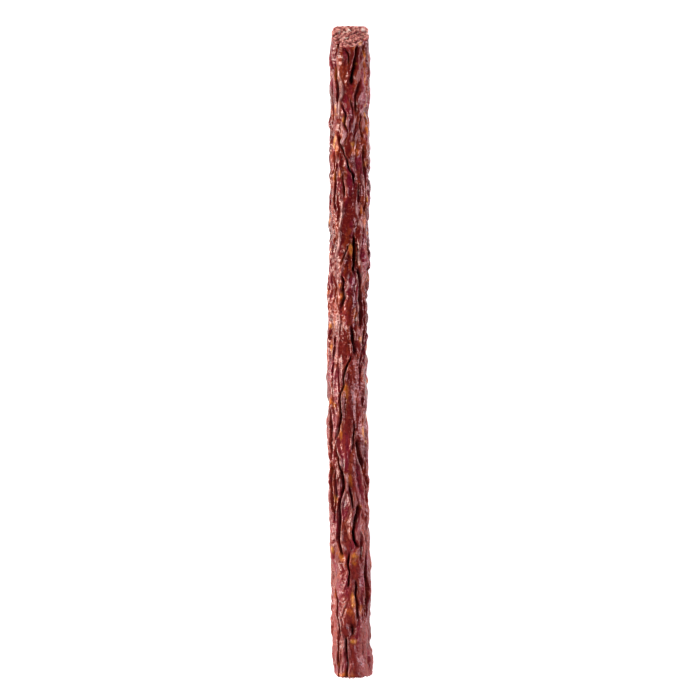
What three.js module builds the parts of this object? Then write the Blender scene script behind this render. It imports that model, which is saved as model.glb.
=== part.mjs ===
// A thin cured sausage: a dried meat stick, lying on its side.
//
// It is one piece of ground meat in a skin that has shrunk and folded onto it,
// so it is one closed solid. It lies along Y. Its folds run along it, its
// underside is pressed flat, and both ends are cut: the +Y end on a slant and
// the -Y end almost square. Millimetres, +Z up, with the origin under the
// middle of the stick, on the surface that it lies on.

import * as THREE from 'three';

// Driving dimensions.
const LENGTH = 210;
const WIDTH = 12.7;
const HEIGHT = 12;
const PRESSED = 0.6;              // thickness that the flat underside has lost
const ROUND = 2;                  // power of the section's curve above: a circle
const SQUARISH = 3;               // power of the section's curve below
const SLANTED_CUT = 31;           // degrees: the underside reaches past the upper side
const SQUARE_CUT = 7;             // degrees: the upper side reaches past the underside
const CUT_REACH = 16;             // length over which the rings turn to meet a cut

// The stick is not quite straight: its middle bows to the left, and towards the
// square end it leans to the right and widens.
const BOW = { shift: 0.9, centre: -8, reach: 38 };
const LEAN = { shift: 0.6, start: 45, end: 85 };
const FLARE = { share: 0.02, start: 92, end: 102 };

// What the knife did near each cut: how far it pushed the skin out or in, where
// that lies in degrees from the top, and over how many degrees and what stretch.
const SLANTED_FORM = {
  start: 84,
  end: 100,
  pushes: [
    { out: -1.5, degrees: 41, spread: 25 },
    { out: 0.9, degrees: -16, spread: 22 },
    { out: 0.7, degrees: 133, spread: 18 },
  ],
};
const SQUARE_FORM = {
  start: 97,
  end: 105,
  pushes: [
    { out: -1.2, degrees: -86, spread: 36 },
    { out: -0.3, degrees: 90, spread: 36 },
  ],
};

// Steps of the surface, around the stick and along it.
const AROUND = 48;
const RINGS = 92;

const HALF_LENGTH = LENGTH / 2;
const HALF_WIDTH = WIDTH / 2;
const HALF_HEIGHT = (HEIGHT + PRESSED) / 2;
const CENTRE_HEIGHT = HALF_HEIGHT - PRESSED;

// Thicker and thinner stretches: the share by which each wave swings the girth,
// the length in which it turns by one radian, and its start in radians.
const GIRTH_WAVES = [
  { swing: 0.008, wave: 6, start: 0 },
  { swing: 0.008, wave: 10, start: 2 },
];

// Broad swellings that wind around the stick: their height, how many there are
// in one turn, the length in which they wind by one radian, and their start.
const SWELLINGS = [
  { height: 0.14, lobes: 2, wind: 19, start: 0 },
  { height: 0.12, lobes: 3, wind: -13, start: 1.3 },
  { height: 0.08, lobes: 5, wind: 8, start: 0.4 },
];

// Deep folds of the upper side. Each course is a list of [along Y, across X].
const UPPER_FOLDS = [
  { width: 2.0, depth: 2.0, course: [[110, 3.0], [94, 1.3], [86, 0.5]] },
  { width: 1.9, depth: 0.8, course: [[86, 1.8], [76, 2.2]] },
  { width: 1.9, depth: 1.0, course: [[81, -2.2], [72, -1.1]] },
  { width: 2.5, depth: 1.6, course: [[70, -3.6], [62, -1.5], [53, 1.6]] },
  { width: 1.9, depth: 0.9, course: [[36, -0.7], [27, -2.2]] },
  { width: 1.9, depth: 1.1, course: [[37, 0.9], [24, 1.8]] },
  { width: 1.9, depth: 1.1, course: [[24, -1.4], [14, -2.5]] },
  { width: 2.0, depth: 1.4, course: [[26, 2.6], [15, 3.4], [5, 3.1]] },
  { width: 1.9, depth: 1.2, course: [[9, 0.1], [-2, 1.1]] },
  { width: 2.0, depth: 1.1, course: [[-1, 0.2], [-10, -1.8], [-20, -2.7], [-32, -4.6]] },
  { width: 2.2, depth: 1.7, course: [[-34, -3.5], [-42, -1.5], [-54, -3.7], [-66, -2.4]] },
  { width: 1.9, depth: 1.1, course: [[-43, 0.1], [-52, 0.8]] },
  { width: 1.9, depth: 1.2, course: [[-49, 2.8], [-57, 1.7], [-63, 2.2]] },
  { width: 1.9, depth: 1.1, course: [[-65, -0.1], [-76, -0.6]] },
  { width: 1.9, depth: 0.9, course: [[-74, 1.0], [-87, 2.2]] },
  { width: 2.2, depth: 0.9, course: [[-82, -4.8], [-94, -2.3]] },
  { width: 1.9, depth: 0.8, course: [[-93, -0.8], [-110, -0.4]] },
];
const FOLD_TAPER = 4;             // length over which a fold runs out at its ends

// Shallower folds, scattered over both flanks and the back.
const FLANK_FOLDS = 40;
const FLANK_FOLD_WIDTH = 2.0;
const FLANK_FOLD_DEPTH = 0.8;
const FLANK_FOLD_LENGTHS = [16, 34];
const FLANK_LANES = [42, 150];    // degrees from the top, on either side
const FLANK_DRIFT = 16;           // degrees by which a fold may wander from its lane
const SCATTER = { lane: 0.618, start: 0.755, length: 0.57, drift: 0.414 };

const { degToRad, lerp, mapLinear, smoothstep } = THREE.MathUtils;

// Even scatter from 0 to 1: each step gives the counts a different order.
function scatter(count, step) {
  return (count * step) % 1;
}

// Where the middle of the stick lies across X, at a place along it.
function bow(y) {
  const left = BOW.shift * Math.exp(-(((y - BOW.centre) / BOW.reach) ** 2));
  return LEAN.shift * smoothstep(-y, LEAN.start, LEAN.end) - left;
}

// The girth at a place along the stick, as a share of the mean.
function girth(y) {
  const flare = FLARE.share * smoothstep(-y, FLARE.start, FLARE.end);
  const waves = GIRTH_WAVES.map(({ swing, wave, start }) => swing * Math.sin(y / wave + start));
  return 1 + flare + waves.reduce((sum, each) => sum + each, 0);
}

// The section's reach at an angle, as a share: round above, and squarish below,
// where the stick was pressed.
function section(angle) {
  const power = lerp(ROUND, SQUARISH, smoothstep(-Math.cos(angle), 0, 0.6));
  const sum = Math.abs(Math.sin(angle)) ** power + Math.abs(Math.cos(angle)) ** power;
  return sum ** (-1 / power);
}

// The shortest turn from one angle to another.
function turnBetween(from, to) {
  return Math.atan2(Math.sin(to - from), Math.cos(to - from));
}

// How far the knife pushed the skin out near one cut.
function formed({ start, end, pushes }, angle, towardsCut) {
  const near = smoothstep(towardsCut, start, end);
  return pushes.reduce((sum, { out, degrees, spread }) => {
    const turn = turnBetween(degToRad(degrees), angle) / degToRad(spread);
    return sum + near * out * Math.exp(-(turn ** 2));
  }, 0);
}

// How far the broad swellings and both cuts push the skin out.
function swelling(angle, y) {
  const waves = SWELLINGS.reduce(
    (sum, { height, lobes, wind, start }) => sum + height * Math.sin(lobes * angle + y / wind + start),
    0,
  );
  return waves + formed(SLANTED_FORM, angle, y) + formed(SQUARE_FORM, angle, -y);
}

// A fold of the upper side, with its course turned from X into an angle.
function upperFold({ width, depth, course }) {
  const points = course.map(([y, x]) => [y, Math.asin((x - bow(y)) / HALF_WIDTH)]);
  return { width, depth, points };
}

// A fold of a flank or the back, on the left and the right in turn.
function flankFold(index) {
  const side = index % 2 ? 1 : -1;
  const lane = lerp(...FLANK_LANES, scatter(index, SCATTER.lane));
  const start = lerp(HALF_LENGTH, -HALF_LENGTH, scatter(index, SCATTER.start));
  const length = lerp(...FLANK_FOLD_LENGTHS, scatter(index, SCATTER.length));
  const drift = FLANK_DRIFT * (scatter(index, SCATTER.drift) - 0.5);
  const points = [
    [start, degToRad(side * lane)],
    [start - length / 2, degToRad(side * (lane + drift))],
    [start - length, degToRad(side * (lane - drift / 2))],
  ];
  return { width: FLANK_FOLD_WIDTH, depth: FLANK_FOLD_DEPTH, points };
}

const folds = [
  ...UPPER_FOLDS.map(upperFold),
  ...Array.from({ length: FLANK_FOLDS }, (_, index) => flankFold(index)),
];

// The angle at which a fold lies, at a place along the stick.
function foldAngle(points, y) {
  const next = points.findIndex(([pointY]) => pointY <= y);
  if (next === 0) return points[0][1];
  if (next < 0) return points.at(-1)[1];
  const [fromY, fromAngle] = points[next - 1];
  const [toY, toAngle] = points[next];
  return mapLinear(y, fromY, toY, fromAngle, toAngle);
}

// How deep one fold is at a place on the skin.
function foldDepth({ width, depth, points }, angle, y) {
  const start = points[0][0];
  const end = points.at(-1)[0];
  const taper = smoothstep(y, end, end + FOLD_TAPER) * (1 - smoothstep(y, start - FOLD_TAPER, start));
  const aside = turnBetween(foldAngle(points, y), angle) * HALF_WIDTH;
  return depth * taper * Math.exp(-((aside / (width / 2)) ** 2));
}

// Shears a point along Y, so that the first and last rings lie in the cuts.
function sheared(x, y, z) {
  const nearSlanted = smoothstep(y, HALF_LENGTH - CUT_REACH, HALF_LENGTH);
  const nearSquare = smoothstep(-y, HALF_LENGTH - CUT_REACH, HALF_LENGTH);
  const slanted = nearSlanted * z * Math.tan(degToRad(SLANTED_CUT));
  const square = nearSquare * (z - HEIGHT) * Math.tan(degToRad(SQUARE_CUT));
  return new THREE.Vector3(x, y - slanted - square, z);
}

// A point on the skin. The angle is 0 on top and grows towards +X.
function skinPoint(angle, y) {
  const fold = Math.hypot(...folds.map((each) => foldDepth(each, angle, y)));
  const push = swelling(angle, y) - fold;
  const size = girth(y) * section(angle);
  const x = bow(y) + Math.sin(angle) * (HALF_WIDTH * size + push);
  const z = CENTRE_HEIGHT + Math.cos(angle) * (HALF_HEIGHT * size + push);
  return sheared(x, y, Math.max(z, 0));
}

// The rings of skin points, from the slanted end to the square end.
function skinRings() {
  const rings = [];
  for (let ring = 0; ring < RINGS; ring += 1) {
    const y = lerp(HALF_LENGTH, -HALF_LENGTH, ring / (RINGS - 1));
    for (let step = 0; step < AROUND; step += 1) {
      rings.push(skinPoint((2 * Math.PI * step) / AROUND, y));
    }
  }
  return rings;
}

// The skin's faces between one ring and the next.
function skinFaces() {
  const faces = [];
  for (let ring = 0; ring < RINGS - 1; ring += 1) {
    for (let step = 0; step < AROUND; step += 1) {
      const here = ring * AROUND + step;
      const beside = ring * AROUND + ((step + 1) % AROUND);
      faces.push(here, here + AROUND, beside);
      faces.push(beside, here + AROUND, beside + AROUND);
    }
  }
  return faces;
}

// The fan of faces that closes one end, from its centre to its ring.
function cutFaces(centre, firstOfRing, turn) {
  const faces = [];
  for (let step = 0; step < AROUND; step += 1) {
    faces.push(centre, firstOfRing + step, firstOfRing + ((step + turn + AROUND) % AROUND));
  }
  return faces;
}

// One closed surface: the skin, and a flat face at each cut.
function stickGeometry() {
  const positions = skinRings();
  const slantedCentre = positions.length;
  const squareCentre = slantedCentre + 1;
  positions.push(sheared(bow(HALF_LENGTH), HALF_LENGTH, CENTRE_HEIGHT));
  positions.push(sheared(bow(-HALF_LENGTH), -HALF_LENGTH, CENTRE_HEIGHT));

  const geometry = new THREE.BufferGeometry().setFromPoints(positions);
  geometry.setIndex([
    ...skinFaces(),
    ...cutFaces(slantedCentre, 0, 1),
    ...cutFaces(squareCentre, (RINGS - 1) * AROUND, -1),
  ]);
  geometry.computeBoundingBox();
  const middle = geometry.boundingBox.getCenter(new THREE.Vector3());
  geometry.translate(-middle.x, -middle.y, 0);
  geometry.computeVertexNormals();
  return geometry;
}

function sausageStick() {
  const curedMeat = new THREE.MeshStandardMaterial({ color: 0x7a2c24, roughness: 0.4, metalness: 0 });
  const mesh = new THREE.Mesh(stickGeometry(), curedMeat);
  mesh.name = 'sausage_stick';
  return mesh;
}

const sausage = new THREE.Group();
sausage.add(sausageStick());

export default sausage;
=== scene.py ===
import math

import bpy
import numpy as np
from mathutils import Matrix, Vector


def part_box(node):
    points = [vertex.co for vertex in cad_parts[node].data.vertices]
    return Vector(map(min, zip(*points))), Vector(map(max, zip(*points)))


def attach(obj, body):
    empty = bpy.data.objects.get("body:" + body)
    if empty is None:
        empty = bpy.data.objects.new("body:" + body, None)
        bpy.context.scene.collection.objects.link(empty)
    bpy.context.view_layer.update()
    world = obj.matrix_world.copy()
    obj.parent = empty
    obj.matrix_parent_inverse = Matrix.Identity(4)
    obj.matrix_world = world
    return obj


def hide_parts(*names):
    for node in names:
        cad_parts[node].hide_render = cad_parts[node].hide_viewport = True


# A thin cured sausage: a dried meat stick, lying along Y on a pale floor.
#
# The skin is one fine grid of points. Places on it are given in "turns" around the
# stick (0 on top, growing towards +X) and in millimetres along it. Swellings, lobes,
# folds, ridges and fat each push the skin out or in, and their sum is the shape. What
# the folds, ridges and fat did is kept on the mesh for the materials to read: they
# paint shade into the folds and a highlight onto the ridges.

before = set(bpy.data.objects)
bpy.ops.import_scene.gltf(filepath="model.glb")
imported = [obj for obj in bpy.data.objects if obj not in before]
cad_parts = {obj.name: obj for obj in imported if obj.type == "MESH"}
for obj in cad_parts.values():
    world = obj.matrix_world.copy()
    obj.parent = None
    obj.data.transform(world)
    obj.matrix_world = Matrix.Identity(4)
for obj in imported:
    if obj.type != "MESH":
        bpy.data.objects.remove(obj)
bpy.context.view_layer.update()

NODE = "sausage_stick"
MM = 0.001

# The length comes from the solid's box. The rest repeats the solid's own values, in
# millimetres: its section, cuts, bow, lean, flare and swellings.
low, high = (np.array(corner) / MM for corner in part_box(NODE))
LENGTH = high[1] - low[1]
HALF_LENGTH = LENGTH / 2
HALF_WIDTH = 6.35
HALF_HEIGHT = 6.3
CENTRE_HEIGHT = 5.7
HEIGHT = 12
ROUND = 2                        # power of the section's curve above
SQUARISH = 3                     # and below
SLANTED_CUT = math.radians(31)
SQUARE_CUT = math.radians(7)
CUT_REACH = 16
SOFT_EDGE = 0.02                 # how softly the pressed underside meets the flanks
BOW = {"shift": 0.9, "centre": -8, "reach": 38}
LEAN = {"shift": 0.6, "start": 45, "end": 85}
FLARE = {"share": 0.02, "start": 92, "end": 102}

# Near the slanted cut one shoulder is sunken and two corners stand out. Near the
# square cut both sides are drawn in, the left one more. Each is how far out, where in
# turns and how wide, and each reach is the stretch over which the form comes in.
SLANTED_FORM = [(-1.5, 0.115, 0.07), (0.9, -0.045, 0.06), (0.7, 0.37, 0.05)]
SLANTED_FORM_REACH = (84, 100)
SQUARE_FORM = [(-1.2, -0.24, 0.10), (-0.3, 0.25, 0.10)]
SQUARE_FORM_REACH = (97, 105)

# Thicker and thinner stretches: share, length and start. Swellings that wind around
# the stick: height, how many in a turn, the length that winds by a radian, and start.
GIRTH_WAVES = [(0.008, 6, 0), (0.008, 10, 2)]
SWELLINGS = [(0.14, 2, 19, 0), (0.12, 3, -13, 1.3), (0.08, 5, 8, 0.4)]

# Broad lumps and hollows of the two sides, which the solid doesn't have: how far out,
# where in turns and along, and their half length.
SIDE_LUMPS = [
    (-0.6, -0.24, 91, 6), (-0.5, -0.24, 59, 5), (0.9, -0.24, 42, 8), (0.7, -0.24, 20, 3),
    (-0.8, -0.24, 8, 4), (-1.4, -0.24, -13, 3), (-0.4, -0.24, -44, 3), (0.4, 0.24, 20, 4),
    (0.6, 0.24, 65, 4), (0.5, 0.24, 25, 5), (-0.5, 0.24, -48, 3), (-0.6, 0.24, -66, 3),
    (1.2, 0.24, -78, 6), (0.4, 0.24, -98, 3), (-0.6, -0.24, 102, 5),
]
SIDE_SPREAD = 0.09

# The fine grid.
AROUND = 176
RINGS = 510
CUT_RINGS = 27
CIRCUMFERENCE = 2 * math.pi * HALF_WIDTH

# Folds of the upper side: width, depth and course as (along Y, across X). A fold's
# place in the list decides how it wiggles, so the last two stand out of order.
UPPER_FOLDS = [
    (0.65, 3.2, [(98.2, 3.1), (96, 2.6), (93, 2.0), (90, 1.1), (85, 0.8)]),
    (0.40, 1.1, [(98, -1.8), (95, -0.5), (91, 0.2)]),
    (0.40, 1.0, [(97, -5.1), (90, -4.4), (85, -3.9), (79, -4.1)]),
    (0.60, 1.0, [(88, 2.8), (82, 2.2), (76, 2.4)]),
    (0.35, 0.8, [(82, 0.5), (77, 0.8), (74, 1.5)]),
    (0.40, 1.2, [(80, -2.1), (76, -1.6), (70, -1.0)]),
    (0.40, 1.0, [(77, 3.4), (72, 3.6), (68, 4.7)]),
    (0.40, 1.5, [(70, -3.4), (66, -2.6), (63, -1.8), (60, -0.5), (57, 0.7), (53, 1.4)]),
    (0.40, 1.0, [(67, 4.7), (52, 4.8), (43, 4.7)]),
    (0.40, 1.0, [(64, -4.7), (55, -4.4), (44, -4.3)]),
    (0.40, 1.0, [(58, -1.9), (48, -2.0)]),
    (0.35, 0.8, [(55, 3.0), (47, 3.0)]),
    (0.50, 1.7, [(38, 1.2), (33, 1.6), (29, 1.6), (24, 1.3)]),
    (0.35, 0.8, [(37, 2.4), (26, 2.5)]),
    (0.40, 1.0, [(35, -0.6), (31, -1.3), (27, -2.6)]),
    (0.50, 1.6, [(25, -3.0), (22, -2.0), (17, -2.0), (13, -3.4)]),
    (0.50, 1.7, [(27, 2.8), (20, 2.9), (14, 3.3), (7, 3.0)]),
    (0.45, 1.9, [(9, 0.3), (5, 0.9), (2, 1.1), (-2, 1.3)]),
    (0.35, 0.9, [(4, 3.7), (-1, 3.6), (-9, 3.3)]),
    (0.45, 1.4, [(-1, 0.3), (-9, -1.7), (-16, -2.9), (-23, -2.7), (-29, -4.8), (-35, -3.9)]),
    (0.40, 0.9, [(-14, 4.1), (-24, 4.0)]),
    (0.35, 1.0, [(-22, 1.3), (-33, 1.0)]),
    (0.50, 1.5, [(-28, 2.2), (-32, 2.9), (-36, 3.9), (-40, 4.3)]),
    (0.50, 1.5, [(-33, -4.3), (-39, -2.4), (-44, -1.8), (-50, -3.3), (-60, -3.2), (-67, -2.0)]),
    (0.45, 1.6, [(-43, 0.2), (-47, 0.6), (-52, 0.9)]),
    (0.65, 2.0, [(-49, 2.7), (-53, 2.3), (-58, 1.5), (-61, 1.8), (-64, 2.9)]),
    (0.40, 0.9, [(-61, 3.8), (-69, 3.3)]),
    (0.45, 1.5, [(-64, -0.1), (-77, -0.6)]),
    (0.45, 1.4, [(-73, 1.6), (-79, 2.1), (-87, 2.4)]),
    (0.35, 0.7, [(-79, 4.7), (-88, 5.1)]),
    (0.45, 1.2, [(-83, -4.5), (-88, -3.3), (-94, -2.7)]),
    (1.00, 1.3, [(-87, 1.3), (-93, 0.9)]),
    (0.50, 1.3, [(-91, -1.0), (-98, -0.7), (-112, -0.6)]),
    (0.45, 1.0, [(-89, -4.0), (-97, -3.7), (-112, -3.5)]),
    (0.40, 1.0, [(6, -4.9), (1, -4.7), (-3, -5.2), (-8, -5.6)]),
    (0.40, 0.9, [(-76, -4.9), (-81, -4.1), (-86, -4.3)]),
]
FOLD_TAPER = 2.6
FOLD_WIGGLE = 0.40               # how far a fold wanders off its course, in mm
LIP = 0.18                       # a fold's raised lips, as a share of its depth
PINCH = 0.4                      # how strongly the skin is drawn together at a fold

# The first seeds of the folds and ridges, to which each adds its place in its list.
FOLD_SEEDS = {"wiggle": 40, "width": 140, "depth": 240}
RIDGE_SEEDS = {"wiggle": 90, "height": 340}

# The knife left the skin more even: over how many mm from a cut, and by what share.
KNIFE_REACH = 4
KNIFE_EVENNESS = 0.7

# Narrow ridges of the upper side, which catch the light and get a painted highlight:
# height, half width and course.
UPPER_RIDGES = [
    (0.50, 0.40, [(93, -3.2), (87, -2.8), (83, -2.6), (80, -3.2), (74, -3.4)]),
    (0.40, 0.40, [(99, -4.4), (94, -3.8)]),
    (0.45, 0.35, [(93, 1.9), (89, 1.2), (85, 2.6)]),
    (0.40, 0.30, [(81, -1.4), (77, -1.0), (70, -0.6)]),
    (0.60, 0.38, [(75, -2.9), (71, -2.2), (66, -2.0), (63, -1.3), (60, 0.0), (55, 1.3)]),
    (0.40, 0.40, [(64, -4.0), (57, -2.6)]),
    (0.40, 0.40, [(58, -1.4), (52, -0.9), (48, -1.5)]),
    (0.40, 0.40, [(58, 3.5), (51, 4.2), (46, 4.4)]),
    (0.55, 0.60, [(50, -2.4), (45, -2.0), (38, -3.1), (34, -3.5), (29, -4.7)]),
    (0.45, 0.50, [(50, 1.8), (45, 2.2), (42, 3.3), (38, 3.8)]),
    (0.45, 0.40, [(38, 3.1), (30, 3.0), (21, 4.1)]),
    (0.40, 0.30, [(35, 0.2), (30, -1.0), (27, -2.1), (22, -3.3)]),
    (0.40, 0.30, [(30, 0.7), (23, 0.8)]),
    (0.45, 0.35, [(26, -0.1), (22, -0.5), (19, -1.3), (13, -1.7)]),
    (0.45, 0.30, [(27, 2.0), (18, 2.4), (11, 2.5), (4, 2.0)]),
    (0.42, 0.45, [(19, -4.9), (15, -4.5), (12, -3.4), (4, -3.8), (-5, -4.3)]),
    (0.45, 0.40, [(12, 4.4), (6, 4.4)]),
    (0.40, 0.30, [(9, -0.2), (5, 0.2), (2, 0.5), (-2, 0.8)]),
    (0.40, 0.40, [(8, 3.4), (1, 3.2), (-6, 2.6)]),
    (0.45, 0.50, [(-4, -4.0), (-9, -4.9), (-13, -5.1)]),
    (0.40, 0.35, [(-3, -0.3), (-8, -1.0), (-13, -2.1), (-24, -2.2)]),
    (0.30, 0.30, [(-22, 1.0), (-33, 0.5)]),
    (0.50, 0.40, [(-23, -2.2), (-27, -4.1), (-31, -4.4), (-35, -3.1), (-39, -1.6)]),
    (0.45, 0.35, [(-29, 1.5), (-33, 2.1), (-37, 3.4), (-46, 4.8)]),
    (0.50, 0.40, [(-38, -1.6), (-42, -0.9), (-48, -1.9), (-53, -3.0), (-60, -2.6), (-66, -1.4)]),
    (0.35, 0.40, [(-45, -0.2), (-52, 0.6), (-59, 0.9)]),
    (0.40, 0.35, [(-49, 2.4), (-54, 1.6), (-60, 1.1)]),
    (0.40, 0.40, [(-55, 3.8), (-62, 4.7)]),
    (0.45, 0.35, [(-74, 0.8), (-79, 1.5), (-83, 1.3), (-88, 1.8)]),
    (0.35, 0.40, [(-78, 4.3), (-87, 4.4)]),
    (0.40, 0.35, [(-79, -4.3), (-82, -3.1), (-85, -2.0)]),
    (0.40, 0.35, [(-79, 0.1), (-82, -1.1), (-87, -3.0)]),
    (0.38, 0.40, [(-83, -4.4), (-87, -2.8), (-92, -1.9), (-97, -2.0), (-112, -2.8)]),
    (0.40, 0.35, [(-91, -0.3), (-97, -0.3), (-112, -0.1)]),
]

# Stretches of the upper side: X, Y, half width and half length. The smooth ones
# are stretched tight, and the crinkled ones have shrunk the most.
SMOOTH_PATCHES = [
    (-0.8, 84, 1.6, 6), (0.4, 45, 2.1, 7), (-0.9, 25.5, 1.2, 2.5), (0.2, 13, 1.6, 6.5),
    (-1.6, 2, 1.6, 5), (0.4, -17, 1.9, 6.5), (-1.7, -29, 2.2, 6), (0.2, -37, 1.8, 5),
    (-1.0, -56, 1.7, 9), (0.3, -85, 1.3, 3.5), (2.3, -99, 2.4, 7), (-4.0, -73, 1.5, 8),
    (-4.7, -92, 1.6, 11), (5.2, -96, 1.2, 9), (-5.4, -45, 1.3, 8), (5.5, -77, 1.3, 9),
]
CRINKLED_PATCHES = [
    (4.6, 67, 1.9, 4), (-5.0, 38, 1.6, 10), (4.2, -1, 1.5, 8), (4.0, -12, 1.8, 7),
    (-5.0, -13, 1.4, 6), (4.4, 84, 1.6, 6),
]

# Lumps of fat under the skin: X, Y, width, length and tone, 0 orange to 1 pale.
FAT_SPOTS = [
    (4.4, 98.6, 2.6, 1.6, 0.8), (1.4, 97.7, 1.2, 1.6, 0.0), (5.6, 94, 1.2, 5, 0.4),
    (2.7, 92.3, 0.8, 0.8, 0.5), (5.3, 87, 0.8, 5, 0.4), (5.3, 79, 1.3, 2.0, 0.4),
    (5.2, 76.2, 1.4, 1.6, 0.5), (-2.0, 74.4, 0.7, 2.2, 0.7), (-1.2, 72.2, 0.6, 2.0, 0.5),
    (-4.6, 67.6, 1.2, 2.4, 0.4), (-4.0, 65.3, 1.4, 4.0, 0.0), (1.0, 66.6, 0.9, 1.2, 0.7),
    (1.8, 64.2, 2.6, 2.2, 0.0), (-3.0, 57.0, 1.0, 2.4, 0.1), (3.8, 45.3, 0.9, 2.5, 0.2),
    (5.0, 41.5, 1.2, 4.5, 0.1), (0.4, 33.0, 0.8, 4, 0.8), (-3.1, 21.0, 0.9, 2.0, 0.0),
    (-3.0, 17.6, 0.8, 3.0, 0.0), (-5.6, 8.5, 1.4, 3.6, 0.4), (-6.3, 0.9, 1.4, 3.8, 0.4),
    (1.6, 12.4, 0.7, 3.4, 0.1), (3.0, 3.6, 0.9, 1.6, 0.7), (-1.0, -13.0, 1.8, 4.4, 0.2),
    (-6.2, -16.4, 0.9, 1.8, 0.1), (-5.0, -17.6, 1.0, 1.4, 0.2), (-2.7, -26.6, 1.1, 4.2, 0.2),
    (4.1, -26.5, 1.0, 3.4, 0.8), (4.9, -29.0, 1.4, 1.0, 0.7), (0.3, -41.4, 1.4, 3, 0.1),
    (-4.9, -47.6, 2.0, 3, 0.4), (3.7, -49.8, 0.9, 1.0, 0.3), (-5.1, -64.0, 0.9, 2.2, 0.9),
    (-2.6, -66.2, 1.6, 2.6, 0.2), (1.8, -66.0, 1.8, 2.0, 0.5), (1.5, -68.2, 1.2, 1.8, 0.2),
    (-4.8, -78.4, 0.8, 2.5, 0.1), (0.9, -79.8, 1.2, 4.6, 0.6), (0.2, -84.0, 1.6, 2.6, 0.0),
    (3.8, -83.4, 0.9, 3.5, 0.1), (5.3, -83, 0.7, 4, 0.2), (1.3, -93.6, 1.9, 1.4, 0.7),
    (-2.2, -104.3, 5.5, 1.3, 0.1),
]

# What is scattered over the flanks and the back. Lanes and drift are in degrees from
# the top, and the pairs are the least and the most. The steps give each measure its
# own order.
FLANK_LANES = (45, 165)
FLANK_DRIFT = 16
FLANK_FOLDS = 44
FOLD_STEPS = {"lane": 0.618, "start": 0.755, "length": 0.57, "drift": 0.414}
FLANK_FOLD_WIDTH = 0.5
FLANK_FOLD_DEPTHS = (0.9, 1.9)
FLANK_FOLD_LENGTHS = (12, 32)
FLANK_SPOTS = 34
SPOT_STEPS = {"lane": 0.377, "place": 0.618, "width": 0.755, "length": 0.57, "tone": 0.414}
SPOT_WIDTHS = (0.8, 1.7)
SPOT_LENGTHS = (1.6, 4.6)
SPOT_MARGIN = 4                  # how far the lumps stay from the cuts, in mm


# --- Noise ---------------------------------------------------------------

def random_at(column, row, seed):
    """Even random numbers from 0 to 1, the same for the same whole numbers."""
    mixed = (column * 374761393 + row * 668265263 + seed * 1274126177) & 0xFFFFFFFF
    mixed = ((mixed ^ (mixed >> 13)) * 1274126177) & 0xFFFFFFFF
    return ((mixed ^ (mixed >> 16)) & 0xFFFFFF) / 0x1000000


def ease(share):
    """0 to 1 with a gentle start and end."""
    share = np.clip(share, 0, 1)
    return share * share * (3 - 2 * share)


def soft_noise(turns, along, columns, pitch, seed):
    """Smooth noise from -1 to 1, in `columns` cells around and cells of `pitch` mm along.

    Each seed starts its cells elsewhere, so that no two patterns line up.
    """
    across, down = turns * columns + 0.61 * seed, along / pitch + 0.37 * seed
    column, row = np.floor(across).astype(np.int64), np.floor(down).astype(np.int64)
    share_x, share_y = ease(across - column), ease(down - row)

    def corner(right, below):
        return random_at((column + right) % columns, row + below, seed)

    upper = corner(0, 0) * (1 - share_x) + corner(1, 0) * share_x
    lower = corner(0, 1) * (1 - share_x) + corner(1, 1) * share_x
    return 2 * (upper * (1 - share_y) + lower * share_y) - 1


def noise_along(along, pitch, seed):
    """Smooth noise from -1 to 1 that changes only along the stick."""
    return soft_noise(0 * along + 0.5, along, 1, pitch, seed)


def cells(across, down, columns, seed):
    """Distances to the nearest and second nearest of scattered points, in cells.

    There is one point in each whole-number cell, and the pattern meets itself
    again after `columns` cells across.
    """
    column, row = np.floor(across).astype(np.int64), np.floor(down).astype(np.int64)
    nearest = np.full(across.shape, 9.0)
    second = np.full(across.shape, 9.0)
    for right in (-1, 0, 1):
        for below in (-1, 0, 1):
            wrapped = (column + right) % columns
            point_x = column + right + random_at(wrapped, row + below, seed)
            point_y = row + below + random_at(wrapped, row + below, seed + 1)
            away = np.hypot(across - point_x, down - point_y)
            second = np.minimum(second, np.maximum(away, nearest))
            nearest = np.minimum(nearest, away)
    return nearest, second


# --- The stick's plain form ------------------------------------------------

def ease_between(value, start, end):
    """0 at the start and 1 at the end, with a gentle change between them."""
    return ease((value - start) / (end - start))


def bow(along):
    """Where the middle of the stick lies across X."""
    left = BOW["shift"] * np.exp(-((along - BOW["centre"]) / BOW["reach"]) ** 2)
    return LEAN["shift"] * ease_between(-along, LEAN["start"], LEAN["end"]) - left


def girth(along):
    """How thick the stick is, as a share."""
    flare = FLARE["share"] * ease_between(-along, FLARE["start"], FLARE["end"])
    waves = sum(swing * np.sin(along / wave + start) for swing, wave, start in GIRTH_WAVES)
    return 1 + flare + waves


def section(turns):
    """The section's reach, as a share: round above, and squarish below."""
    angle = 2 * math.pi * turns
    power = ROUND + (SQUARISH - ROUND) * ease_between(-np.cos(angle), 0, 0.6)
    return (np.abs(np.sin(angle)) ** power + np.abs(np.cos(angle)) ** power) ** (-1 / power)


def pushed_out(form, turns):
    """How far the form near a cut pushes the skin out."""
    return sum(
        push * np.exp(-(aside(turns, place) / CIRCUMFERENCE / spread) ** 2)
        for push, place, spread in form
    )


def side_lumps(turns, along):
    """The broad lumps and hollows of the two sides."""
    lumps = np.zeros_like(turns)
    for push, place, y, half_length in SIDE_LUMPS:
        apart = aside(turns, place) / CIRCUMFERENCE / SIDE_SPREAD
        lumps += push * np.exp(-apart ** 2 - ((along - y) / half_length) ** 2)
    return lumps


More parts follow.
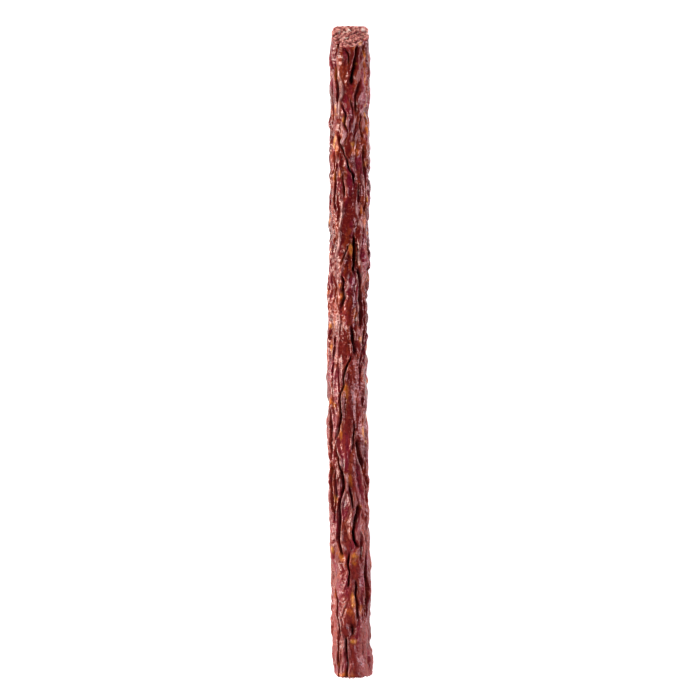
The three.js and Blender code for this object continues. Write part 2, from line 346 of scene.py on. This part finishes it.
def swelling(turns, along):
    """How far the skin is pushed out by swellings, side lumps and both cuts."""
    angle = 2 * math.pi * turns
    waves = sum(
        height * np.sin(lobes * angle + along / wind + start)
        for height, lobes, wind, start in SWELLINGS
    )
    slanted = ease_between(along, *SLANTED_FORM_REACH) * pushed_out(SLANTED_FORM, turns)
    square = ease_between(-along, *SQUARE_FORM_REACH) * pushed_out(SQUARE_FORM, turns)
    return waves + side_lumps(turns, along) + slanted + square


def turns_at(x, along):
    """The place around the stick of a point on its upper side."""
    return np.arcsin(np.clip((x - bow(along)) / HALF_WIDTH, -1, 1)) / (2 * math.pi)


def aside(turns, course_turns):
    """Millimetres around the skin from a course, left of it negative."""
    apart = turns - course_turns
    return (apart - np.round(apart)) * CIRCUMFERENCE


# --- Courses along the skin --------------------------------------------------

def scatter(count, step, ends=(0, 1)):
    """Even scatter between two ends: each step gives the counts a different order."""
    return np.interp((count * step) % 1, (0, 1), ends)


def upper_course(points):
    """A course on the upper side, as rising (along, turns)."""
    along, across = np.array(points, float)[::-1].T
    return along, turns_at(across, along)


def flank_course(index):
    """One of many courses scattered over the flanks and the back."""
    side = 1 if index % 2 else -1
    lane = scatter(index, FOLD_STEPS["lane"], FLANK_LANES)
    start = scatter(index, FOLD_STEPS["start"], (HALF_LENGTH, -HALF_LENGTH))
    length = scatter(index, FOLD_STEPS["length"], FLANK_FOLD_LENGTHS)
    drift = scatter(index, FOLD_STEPS["drift"], (-FLANK_DRIFT / 2, FLANK_DRIFT / 2))
    along = np.array([start - length, start - length / 2, start])
    degrees = side * np.array([lane - drift / 2, lane + drift, lane])
    return along, degrees / 360


def follow(course, turns, along, seed):
    """How far each point is aside of a course, and how much the course counts there."""
    course_along, course_turns = course
    wiggle = FOLD_WIGGLE / CIRCUMFERENCE * noise_along(along, 3.0, seed)
    beside = aside(turns, np.interp(along, course_along, course_turns) + wiggle)
    from_ends = np.minimum(along - course_along[0], course_along[-1] - along)
    return beside, ease(from_ends / FOLD_TAPER)


# --- The skin ----------------------------------------------------------------

def all_folds():
    """Every fold, as width, depth and course."""
    for width, depth, points in UPPER_FOLDS:
        yield width, depth, upper_course(points)
    for index in range(FLANK_FOLDS):
        # The step of the lengths, so that the longest folds are the deepest.
        depth = scatter(index, FOLD_STEPS["length"], FLANK_FOLD_DEPTHS)
        yield FLANK_FOLD_WIDTH, depth, flank_course(index)


def pressed_folds(turns, along):
    """The depth of the folds, their lips, and how far they draw the skin aside."""
    depth = np.zeros_like(turns)
    lips = np.zeros_like(turns)
    drawn = np.zeros_like(turns)
    for number, (mean_width, mean_depth, course) in enumerate(all_folds()):
        beside, counts = follow(course, turns, along, FOLD_SEEDS["wiggle"] + number)
        width = mean_width * (1 + 0.35 * noise_along(along, 2.2, FOLD_SEEDS["width"] + number))
        deep = mean_depth * (1 + 0.30 * noise_along(along, 3.5, FOLD_SEEDS["depth"] + number))
        cut = deep * counts * np.exp(-np.abs(beside / width) ** 2)
        lip = LIP * deep * counts * np.exp(-((np.abs(beside) - 1.9 * width) / (0.8 * width)) ** 2)
        depth = np.maximum(depth, cut)
        lips = np.maximum(lips, lip)
        drawn -= PINCH * counts * beside * np.exp(-(beside / 0.9) ** 2)
    return depth, lips, drawn


def raised_ridges(turns, along):
    """The height of the narrow ridges."""
    ridges = np.zeros_like(turns)
    for number, (height, half_width, points) in enumerate(UPPER_RIDGES):
        course = upper_course(points)
        beside, counts = follow(course, turns, along, RIDGE_SEEDS["wiggle"] + number)
        high = height * (1 + 0.35 * noise_along(along, 2.4, RIDGE_SEEDS["height"] + number))
        ridges = np.maximum(ridges, high * counts * np.exp(-(beside / half_width) ** 2))
    return ridges


def in_patches(patches, turns, along):
    """1 in the middle of a patch, and 0 away from them."""
    inside = np.zeros_like(turns)
    for x, y, half_width, half_length in patches:
        beside = aside(turns, turns_at(x, along)) / half_width
        inside = np.maximum(inside, np.exp(-(beside ** 2 + ((along - y) / half_length) ** 2) ** 2))
    return inside


def long_cells(turns, along, columns, pitch, seed):
    """A pattern of long rounded cells: how sharply they part, and how high they rise."""
    nearest, second = cells(turns * columns, along / pitch, columns, seed)
    inside = second - nearest
    return np.exp(-inside / 0.11), 1 - (1 - np.minimum(inside / 0.85, 1)) ** 2


def lobes_and_wrinkles(turns, along):
    """Creases between long lobes that part and join again, and the lobes' own height."""
    flow = 0.050 * soft_noise(turns, along, 4, 24, 1) + 0.026 * soft_noise(turns, along, 9, 8, 2)
    flow += 0.018 * soft_noise(turns, along, 14, 3.5, 3)
    creases, lobes = long_cells(turns + flow, along, 12, 20, 11)
    wrinkles, knobs = long_cells(turns + flow, along, 23, 4.2, 21)
    strong = 0.30 + 0.70 * ease(0.5 + soft_noise(turns, along, 7, 11, 4))
    lively = ease(0.4 + 0.8 * soft_noise(turns, along, 8, 12, 6))
    return creases * strong, lobes, (wrinkles - 1.4 * knobs) * lively


def all_fat():
    """Every lump of fat, as turns, along, width, length and tone."""
    for x, y, width, length, tone in FAT_SPOTS:
        yield turns_at(x, y), y, width, length, tone
    for index in range(FLANK_SPOTS):
        side = 1 if index % 2 else -1
        lane = scatter(index, SPOT_STEPS["lane"], FLANK_LANES)
        y = scatter(index, SPOT_STEPS["place"], (SPOT_MARGIN - HALF_LENGTH, HALF_LENGTH - SPOT_MARGIN))
        width = scatter(index, SPOT_STEPS["width"], SPOT_WIDTHS)
        length = scatter(index, SPOT_STEPS["length"], SPOT_LENGTHS)
        yield side * lane / 360, y, width, length, scatter(index, SPOT_STEPS["tone"])


def fat_cover(turns, along):
    """How much fat shows at each point, and its tone."""
    ragged = 0.5 * soft_noise(turns, along, 60, 0.9, 31) + 0.6 * soft_noise(turns, along, 30, 2.0, 32)
    cover = np.zeros_like(turns)
    tones = np.zeros_like(turns)
    for spot_turns, y, width, length, tone in all_fat():
        beside = aside(turns, spot_turns) / (width / 2)
        far = beside ** 2 + ((along - y) / (length / 2)) ** 2
        spot = np.exp(-(far * np.maximum(1 + ragged, 0.1)) ** 1.5)
        tones = np.where(spot > cover, tone, tones)
        cover = np.maximum(cover, spot)
    return cover, tones


def sheared(along, z):
    """Where a ring's point lies along Y, once both ends are turned into the cuts."""
    near_slanted = ease_between(along, HALF_LENGTH - CUT_REACH, HALF_LENGTH)
    near_square = ease_between(-along, HALF_LENGTH - CUT_REACH, HALF_LENGTH)
    slanted = near_slanted * z * math.tan(SLANTED_CUT)
    square = near_square * (z - HEIGHT) * math.tan(SQUARE_CUT)
    return along - slanted - square


def skin_points():
    """The skin's points as rings, and what the material reads at each of them."""
    turns, ring = np.meshgrid(
        np.arange(AROUND) / AROUND,
        np.linspace(HALF_LENGTH, -HALF_LENGTH, RINGS),
    )
    size = girth(ring) * section(turns)
    upright = np.cos(2 * math.pi * turns)
    along = sheared(ring, CENTRE_HEIGHT + upright * HALF_HEIGHT * size)
    fold_depth, lips, drawn = pressed_folds(turns, along)
    ridges = raised_ridges(turns, along)
    smooth = in_patches(SMOOTH_PATCHES, turns, along)
    crinkled = in_patches(CRINKLED_PATCHES, turns, along)
    creases, lobes, wrinkles = lobes_and_wrinkles(turns, along)
    fat, tone = fat_cover(turns, along)

    # The upper side has its own ridges, so there the scattered lobes are lower.
    even = KNIFE_EVENNESS * ease_between(np.abs(ring), HALF_LENGTH - KNIFE_REACH, HALF_LENGTH)
    scattered = (1 - 0.8 * smooth) * (1 - 0.5 * ease_between(upright, 0.3, 0.8)) * (1 - even)
    shrunk = scattered * (1.1 * (lobes - 0.6) - 0.5 * creases - 0.25 * wrinkles)
    knobs = 0.24 * soft_noise(turns, along, 13, 3.6, 5) + 0.26 * soft_noise(turns, along, 9, 7, 8)
    pimples = (0.12 + 0.12 * crinkled) * soft_noise(turns, along, 34, 1.4, 7)
    lumps = (1 - 0.6 * smooth) * (1 - even) * (knobs + pimples) - 0.05
    push = swelling(turns, along) + shrunk + lumps + lips + ridges + 0.10 * fat - fold_depth

    angle = 2 * math.pi * (turns + drawn / CIRCUMFERENCE)
    x = bow(ring) + np.sin(angle) * (HALF_WIDTH * size + push)
    z = CENTRE_HEIGHT + np.cos(angle) * (HALF_HEIGHT * size + push)

    # What would reach below the floor is pressed flat on it, with a soft edge.
    pressed = (z + np.sqrt(z * z + SOFT_EDGE)) / 2
    # Painted shade: the folds and creases get a darker colour.
    painted_shade = np.clip(fold_depth / 1.9 + 0.6 * creases * scattered, 0, 1)
    reads = {
        "painted_shade": painted_shade,
        # Painted highlight on the ridge tops.
        "painted_crest_highlight": np.clip(ridges / 0.45, 0, 1) ** 3,
        "fat": fat,
        "fat_tone": tone,
    }
    return np.stack([x, sheared(ring, pressed), pressed], axis=-1), reads


# --- The cut faces -----------------------------------------------------------

# Cracks of the slanted face, and pale crumbs of both faces: X and height above the
# floor. The cells that part the crumbs are so many that they don't repeat on a face.
CRACKS = [
    ((-0.2, 10.4), (1.6, 9.8)), ((1.6, 9.8), (4.6, 7.0)), ((-1.8, 8.6), (-0.2, 7.3)),
    ((-5.0, 5.8), (-3.4, 4.2)), ((-3.4, 4.2), (-1.6, 2.8)), ((3.8, 6.1), (5.8, 5.4)),
    ((0.6, 5.4), (2.6, 3.8)), ((-4.1, 8.6), (-2.9, 7.2)), ((4.0, 3.6), (5.4, 3.4)),
]
CRACK_WIDTH = 0.26
CREAM_CRUMBS = [(-1.2, 3.9), (-1.1, 7.3), (4.2, 2.7), (6.0, 4.3), (-3.2, 3.7), (-0.3, 2.8)]
CRUMB_SIZE = 0.60
CELL_START = 60
CELL_COLUMNS = 1000
STRAND = (math.cos(math.radians(38)), math.sin(math.radians(38)))     # how the meat runs


def distance_to_line(x, z, start, end):
    """How far points of a face are from a straight piece of a crack."""
    (x0, z0), (x1, z1) = start, end
    length = math.hypot(x1 - x0, z1 - z0)
    share = np.clip(((x - x0) * (x1 - x0) + (z - z0) * (z1 - z0)) / length ** 2, 0, 1)
    return np.hypot(x - x0 - share * (x1 - x0), z - z0 - share * (z1 - z0))


def crumb_cells(strand, beside, length, width, wobble, seed):
    """Distances to the nearest two crumbs, for crumbs of a length and a width."""
    across = strand / length + CELL_START + wobble
    down = beside / width + CELL_START + wobble
    return cells(across, down, CELL_COLUMNS, seed)


def cut_face(rim, outward, cracks, seed):
    """The rings of crumbled meat that close one end, from its rim to its centre."""
    centre = rim.mean(axis=0)
    shares = np.linspace(0, 1, CUT_RINGS + 1)[1:-1, None, None]
    flat = rim * (1 - shares) + centre * shares
    x, z = flat[..., 0], flat[..., 2]
    wobble = 0.4 * soft_noise(x / 40 + 0.5, z, 40, 1.0, seed)
    strand, beside = x * STRAND[0] + z * STRAND[1], z * STRAND[0] - x * STRAND[1]
    nearest, second = crumb_cells(strand, beside, 2.0, 0.8, wobble, seed + 1)
    fine, _ = crumb_cells(strand, beside, 1.1, 0.6, 0, seed + 3)
    crumbs = np.clip((second - nearest) / 0.30, 0, 1)
    split = sum(
        np.exp(-(distance_to_line(x, z, *crack) * (1 + wobble) / CRACK_WIDTH) ** 2)
        for crack in cracks
    )
    cream = sum(
        np.exp(-(np.hypot(x - crumb_x, z - crumb_z) * (1 + wobble) / CRUMB_SIZE) ** 4)
        for crumb_x, crumb_z in CREAM_CRUMBS
    )
    inside = ease(shares[..., 0] * CUT_RINGS / 3)
    relief = 0.6 * crumbs - 0.5 * fine + 0.1 - 1.4 * np.clip(split, 0, 1)
    points = flat + (inside * relief)[..., None] * outward
    # Painted shade in the cracks and between the crumbs; the pale crumbs are cream fat.
    reads = {"painted_shade": np.clip(1.6 * split + 0.9 * (1 - crumbs) ** 2, 0, 1), "fat": cream}
    return points, reads, centre


# --- The mesh ------------------------------------------------------------------

def ring_faces(rings):
    """Four-cornered faces between neighbouring rings, each a row of point numbers."""
    upper, lower = rings[:-1], rings[1:]
    faces = [upper, lower, np.roll(lower, -1, axis=1), np.roll(upper, -1, axis=1)]
    return np.stack(faces, axis=-1).reshape(-1, 4)


def store_reads(mesh, skin, slanted, square):
    """Keeps on the mesh what the materials read at each point."""
    blank = np.zeros_like(slanted["painted_shade"])
    for name, values in skin.items():
        column = [slanted.get(name, blank)[::-1], values, square.get(name, blank)]
        stored = mesh.attributes.new(name, "FLOAT", "POINT")
        stored.data.foreach_set("value", np.append(np.concatenate(column).ravel(), [0, 0]))


def stick_mesh():
    """The whole stick as one closed mesh: the skin, and a face of meat at each cut."""
    skin, reads = skin_points()
    slanted_out = np.array([0, math.cos(SLANTED_CUT), math.sin(SLANTED_CUT)])
    square_out = np.array([0, -math.cos(SQUARE_CUT), -math.sin(SQUARE_CUT)])
    slanted, slanted_reads, slanted_centre = cut_face(skin[0], slanted_out, CRACKS, 51)
    square, square_reads, square_centre = cut_face(skin[-1], square_out, [], 61)

    # One column of rings from the slanted centre, over the skin, to the square centre.
    rings = np.concatenate([slanted[::-1], skin, square])
    points = np.concatenate([rings.reshape(-1, 3), [slanted_centre, square_centre]])
    middle = (points.min(axis=0) + points.max(axis=0)) / 2
    points[:, :2] += (low[:2] + high[:2]) / 2 - middle[:2]

    numbers = np.arange(len(rings) * AROUND).reshape(-1, AROUND)
    first, last = numbers[0], numbers[-1]
    slanted_number, square_number = len(points) - 2, len(points) - 1
    fans = [(slanted_number, one, two) for one, two in zip(first, np.roll(first, -1))]
    fans += [(square_number, two, one) for one, two in zip(last, np.roll(last, -1))]
    faces = ring_faces(numbers).tolist() + np.array(fans).tolist()

    mesh = bpy.data.meshes.new("cured_sausage")
    mesh.from_pydata((points * MM).tolist(), [], faces)
    mesh.shade_smooth()

    # The skin has material 0, and the cut faces have material 1.
    cut_count = CUT_RINGS - 1
    quad_rows = np.repeat(np.arange(len(rings) - 1), AROUND)
    is_cut = (quad_rows < cut_count) | (quad_rows >= len(rings) - 1 - cut_count)
    slots = np.concatenate([is_cut, np.ones(len(fans), bool)]).astype(np.int32)
    mesh.polygons.foreach_set("material_index", slots)
    store_reads(mesh, reads, slanted_reads, square_reads)
    return mesh


# --- Materials -----------------------------------------------------------------

def add(tree, kind, inputs=None, **settings):
    """A new node. An input that is given a socket is linked, and any other is set."""
    made = tree.nodes.new(kind)
    for name, value in settings.items():
        setattr(made, name, value)
    for name, value in (inputs or {}).items():
        if isinstance(value, bpy.types.NodeSocket):
            tree.links.new(value, made.inputs[name])
        else:
            made.inputs[name].default_value = value
    return made


def stretched_place(tree, stretch):
    """Object coordinates in millimetres, with the pattern drawn out along the stick."""
    place = add(tree, "ShaderNodeTexCoord").outputs["Object"]
    scale = (1 / MM, 1 / MM / stretch, 1 / MM)
    return add(tree, "ShaderNodeMapping", {"Vector": place, "Scale": scale}).outputs["Vector"]


def along_stick(tree):
    """Metres along the stick, from its middle."""
    place = add(tree, "ShaderNodeTexCoord").outputs["Object"]
    return add(tree, "ShaderNodeSeparateXYZ", {"Vector": place}).outputs["Y"]


def noise(tree, place, size, detail=3.0):
    """Noise with features of about `size` millimetres."""
    made = add(tree, "ShaderNodeTexNoise", {"Vector": place, "Scale": 1 / size, "Detail": detail})
    return made.outputs["Fac"]


def spread_out(tree, value, low_end, high_end, to=(0.0, 1.0)):
    """Stretches a value's middle range over a new range."""
    ends = {"From Min": low_end, "From Max": high_end, "To Min": to[0], "To Max": to[1]}
    return add(tree, "ShaderNodeMapRange", {"Value": value, **ends}).outputs["Result"]


def mixed(tree, share, first, second):
    """A colour between two, each a socket or (red, green, blue)."""
    made = add(tree, "ShaderNodeMix", data_type="RGBA")
    for index, value in ((0, share), (6, first), (7, second)):
        if isinstance(value, bpy.types.NodeSocket):
            tree.links.new(value, made.inputs[index])
        else:
            made.inputs[index].default_value = value if index == 0 else (*value, 1)
    return made.outputs[2]


def maths(tree, operation, first, second):
    """One operation on two values, each a socket or a number."""
    made = add(tree, "ShaderNodeMath", operation=operation)
    for index, value in enumerate((first, second)):
        if isinstance(value, bpy.types.NodeSocket):
            tree.links.new(value, made.inputs[index])
        else:
            made.inputs[index].default_value = value
    return made.outputs[0]


def times(tree, first, second):
    """The product of two values."""
    return maths(tree, "MULTIPLY", first, second)


def plus(tree, first, second):
    """The sum of two values."""
    return maths(tree, "ADD", first, second)


def read(tree, name):
    """What the mesh keeps under a name at each point."""
    return add(tree, "ShaderNodeAttribute", attribute_name=name).outputs["Fac"]


def new_material(name):
    """A new material, its node tree and its shader."""
    material = bpy.data.materials.new(name)
    material.use_nodes = True
    return material, material.node_tree, material.node_tree.nodes["Principled BSDF"]


def skin_colour(tree, rosy, long_place, round_place):
    """Dark and light meat, stains, fat, painted crest highlights and painted hollow shade."""
    dark = mixed(tree, rosy, (0.08, 0.004, 0.006), (0.17, 0.014, 0.012))
    light = mixed(tree, rosy, (0.18, 0.013, 0.010), (0.29, 0.030, 0.024))
    meat = mixed(tree, spread_out(tree, noise(tree, long_place, 5.0), 0.38, 0.62), dark, light)

    # Place, size in mm, the noise at which a stain starts and is full, its strength
    # and its colour.
    stains = [
        (long_place, 3.0, 0.51, 0.62, 0.65, (0.23, 0.012, 0.036)),        # mauve
        (long_place, 2.2, 0.51, 0.63, 0.6, (0.34, 0.048, 0.013)),         # brick
        (round_place, 0.8, 0.48, 0.30, 0.7, (0.06, 0.003, 0.006)),        # dark specks
        (round_place, 0.7, 0.58, 0.70, 0.4, (0.54, 0.13, 0.07)),          # pale specks
    ]
    for place, size, start, full, strength, colour in stains:
        stain = spread_out(tree, noise(tree, place, size), start, full)
        meat = mixed(tree, times(tree, stain, strength), meat, colour)

    # A painted highlight on the ridge tops, broken up in patches.
    crest_highlight_patches = spread_out(tree, noise(tree, round_place, 1.2), 0.40, 0.58, (0.1, 0.7))
    meat = mixed(tree, times(tree, read(tree, "painted_crest_highlight"), crest_highlight_patches), meat, (0.74, 0.44, 0.40))
    fat = mixed(tree, read(tree, "fat_tone"), (0.58, 0.13, 0.018), (0.74, 0.32, 0.055))
    patchy = spread_out(tree, noise(tree, round_place, 1.0), 0.38, 0.55, (0.35, 0.95))
    meat = mixed(tree, times(tree, read(tree, "fat"), patchy), meat, fat)
    # Painted shade darkens the folds and creases nearly to black.
    return mixed(tree, times(tree, read(tree, "painted_shade"), 0.9), meat, (0.022, 0.001, 0.003))


def skin_bumps(tree, long_place, round_place):
    """Fine pimples, and finer streaks along the stick."""
    pimples = noise(tree, round_place, 0.65, 1.0)
    streaks = noise(tree, long_place, 0.8, 1.0)
    bumps = add(tree, "ShaderNodeBump", {"Height": pimples, "Distance": 0.24 * MM, "Strength": 0.9})
    more = {"Height": streaks, "Normal": bumps.outputs["Normal"], "Distance": 0.10 * MM, "Strength": 0.5}
    return add(tree, "ShaderNodeBump", more).outputs["Normal"]


def skin_material():
    """Smoked skin: red-brown over dark meat, with fat showing through, half glossy."""
    material, tree, shader = new_material("cured_skin")
    long_place = stretched_place(tree, 4)
    round_place = stretched_place(tree, 1.3)
    rosy = spread_out(tree, along_stick(tree), 0.03, -0.09)
    rough = spread_out(tree, noise(tree, round_place, 1.6), 0.3, 0.7, (0.13, 0.23))
    rough = plus(tree, rough, times(tree, rosy, 0.20))
    tree.links.new(skin_colour(tree, rosy, long_place, round_place), shader.inputs["Base Color"])
    tree.links.new(rough, shader.inputs["Roughness"])
    tree.links.new(skin_bumps(tree, long_place, round_place), shader.inputs["Normal"])
    shader.inputs["IOR"].default_value = 1.45
    shader.inputs["Specular Tint"].default_value = (1.0, 0.60, 0.53, 1)
    shader.inputs["Coat Weight"].default_value = 0.14
    shader.inputs["Coat Roughness"].default_value = 0.08
    shader.inputs["Subsurface Weight"].default_value = 0.08
    shader.inputs["Subsurface Radius"].default_value = (1.0, 0.25, 0.15)
    shader.inputs["Subsurface Scale"].default_value = 1.0 * MM
    return material


def cut_material():
    """Ground meat on the cut faces: salmon crumbs, cream fat and painted shade in the cracks."""
    material, tree, shader = new_material("cut_meat")
    place = stretched_place(tree, 1)
    crumbs = spread_out(tree, noise(tree, place, 0.9), 0.42, 0.58)
    meat = mixed(tree, crumbs, (0.36, 0.05, 0.045), (0.92, 0.42, 0.34))
    broad = spread_out(tree, noise(tree, place, 2.6), 0.45, 0.60)
    meat = mixed(tree, times(tree, broad, 0.4), meat, (0.40, 0.07, 0.06))
    meat = mixed(tree, read(tree, "fat"), meat, (1.0, 0.80, 0.70))
    # Painted shade darkens the cracks and the gaps between the crumbs.
    meat = mixed(tree, times(tree, read(tree, "painted_shade"), 0.9), meat, (0.06, 0.003, 0.003))
    tree.links.new(meat, shader.inputs["Base Color"])
    rough = spread_out(tree, noise(tree, place, 0.8), 0.3, 0.7, (0.35, 0.6))
    tree.links.new(rough, shader.inputs["Roughness"])
    shader.inputs["Subsurface Weight"].default_value = 0.12
    shader.inputs["Subsurface Radius"].default_value = (1.0, 0.35, 0.25)
    shader.inputs["Subsurface Scale"].default_value = 1.0 * MM
    grain = noise(tree, place, 0.45, 2.0)
    bumps = add(tree, "ShaderNodeBump", {"Height": grain, "Distance": 0.20 * MM, "Strength": 0.8})
    tree.links.new(bumps.outputs["Normal"], shader.inputs["Normal"])
    return material


# --- The scene -------------------------------------------------------------------

def build_stick():
    """The stick's visual model, which stands in for its solid."""
    stick = bpy.data.objects.new("cured_sausage", stick_mesh())
    bpy.context.scene.collection.objects.link(stick)
    stick.data.materials.append(skin_material())
    stick.data.materials.append(cut_material())
    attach(stick, "root")
    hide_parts(NODE)


def build_floor():
    """A large pale floor, at the height that the stick lies on."""
    half = 4.0
    mesh = bpy.data.meshes.new("floor")
    corners = [(-half, -half, 0), (half, -half, 0), (half, half, 0), (-half, half, 0)]
    mesh.from_pydata(corners, [], [(0, 1, 2, 3)])
    floor = bpy.data.objects.new("floor", mesh)
    bpy.context.scene.collection.objects.link(floor)
    material, tree, shader = new_material("pale_floor")
    shader.inputs["Base Color"].default_value = (0.88, 0.88, 0.88, 1)
    shader.inputs["Roughness"].default_value = 0.9
    shader.inputs["Emission Color"].default_value = (1, 1, 1, 1)
    shader.inputs["Emission Strength"].default_value = 0.92
    mesh.materials.append(material)


def add_softbox(name, place, size, power, colour):
    """A rectangular light that faces the middle of the stick."""
    light = bpy.data.lights.new(name, "AREA")
    light.shape = "RECTANGLE"
    light.size, light.size_y = size
    light.energy = power
    light.color = colour
    box = bpy.data.objects.new(name, light)
    box.location = place
    aim = -box.location.normalized()
    box.rotation_euler = aim.to_track_quat("-Z", "Y").to_euler()
    bpy.context.scene.collection.objects.link(box)
    return box


def build_world():
    """A pale room that is bright near the floor and dark overhead."""
    world = bpy.data.worlds.new("studio")
    world.use_nodes = True
    tree = world.node_tree
    place = add(tree, "ShaderNodeTexCoord").outputs["Generated"]
    height = add(tree, "ShaderNodeSeparateXYZ", {"Vector": place}).outputs["Z"]
    strength = spread_out(tree, height, 0.0, 0.40, (0.50, 0.0))
    background = tree.nodes["Background"]
    background.inputs["Color"].default_value = (1, 0.92, 0.88, 1)
    tree.links.new(strength, background.inputs["Strength"])
    bpy.context.scene.world = world


def build_lights():
    """A narrow softbox along each side, and a fill that lifts the slanted cut."""
    add_softbox("left_softbox", (-0.67, 0, 0.16), (0.11, 0.9), 11.3, (1.0, 0.94, 0.89))
    add_softbox("right_softbox", (0.64, 0, 0.20), (0.08, 0.9), 5.3, (0.92, 0.78, 0.92))
    fill = add_softbox("front_softbox", (0, 0.62, 0.28), (0.4, 0.2), 1.5, (1.0, 0.97, 0.95))
    fill.visible_glossy = False                     # without glints on the skin


def build_camera():
    """Looks straight down, from where the stick fills 93% of the picture's height."""
    distance = 2.5
    filled = 0.93
    camera = bpy.data.cameras.new("camera")
    camera.lens = camera.sensor_width * distance * filled / (LENGTH * MM)
    camera.clip_end = 20
    holder = bpy.data.objects.new("camera", camera)
    holder.location = (0.1 * MM, 0.5 * MM, distance + CENTRE_HEIGHT * MM)
    bpy.context.scene.collection.objects.link(holder)
    bpy.context.scene.camera = holder
    bpy.context.scene.view_settings.view_transform = "Standard"


build_stick()
build_floor()
build_world()
build_lights()
build_camera()
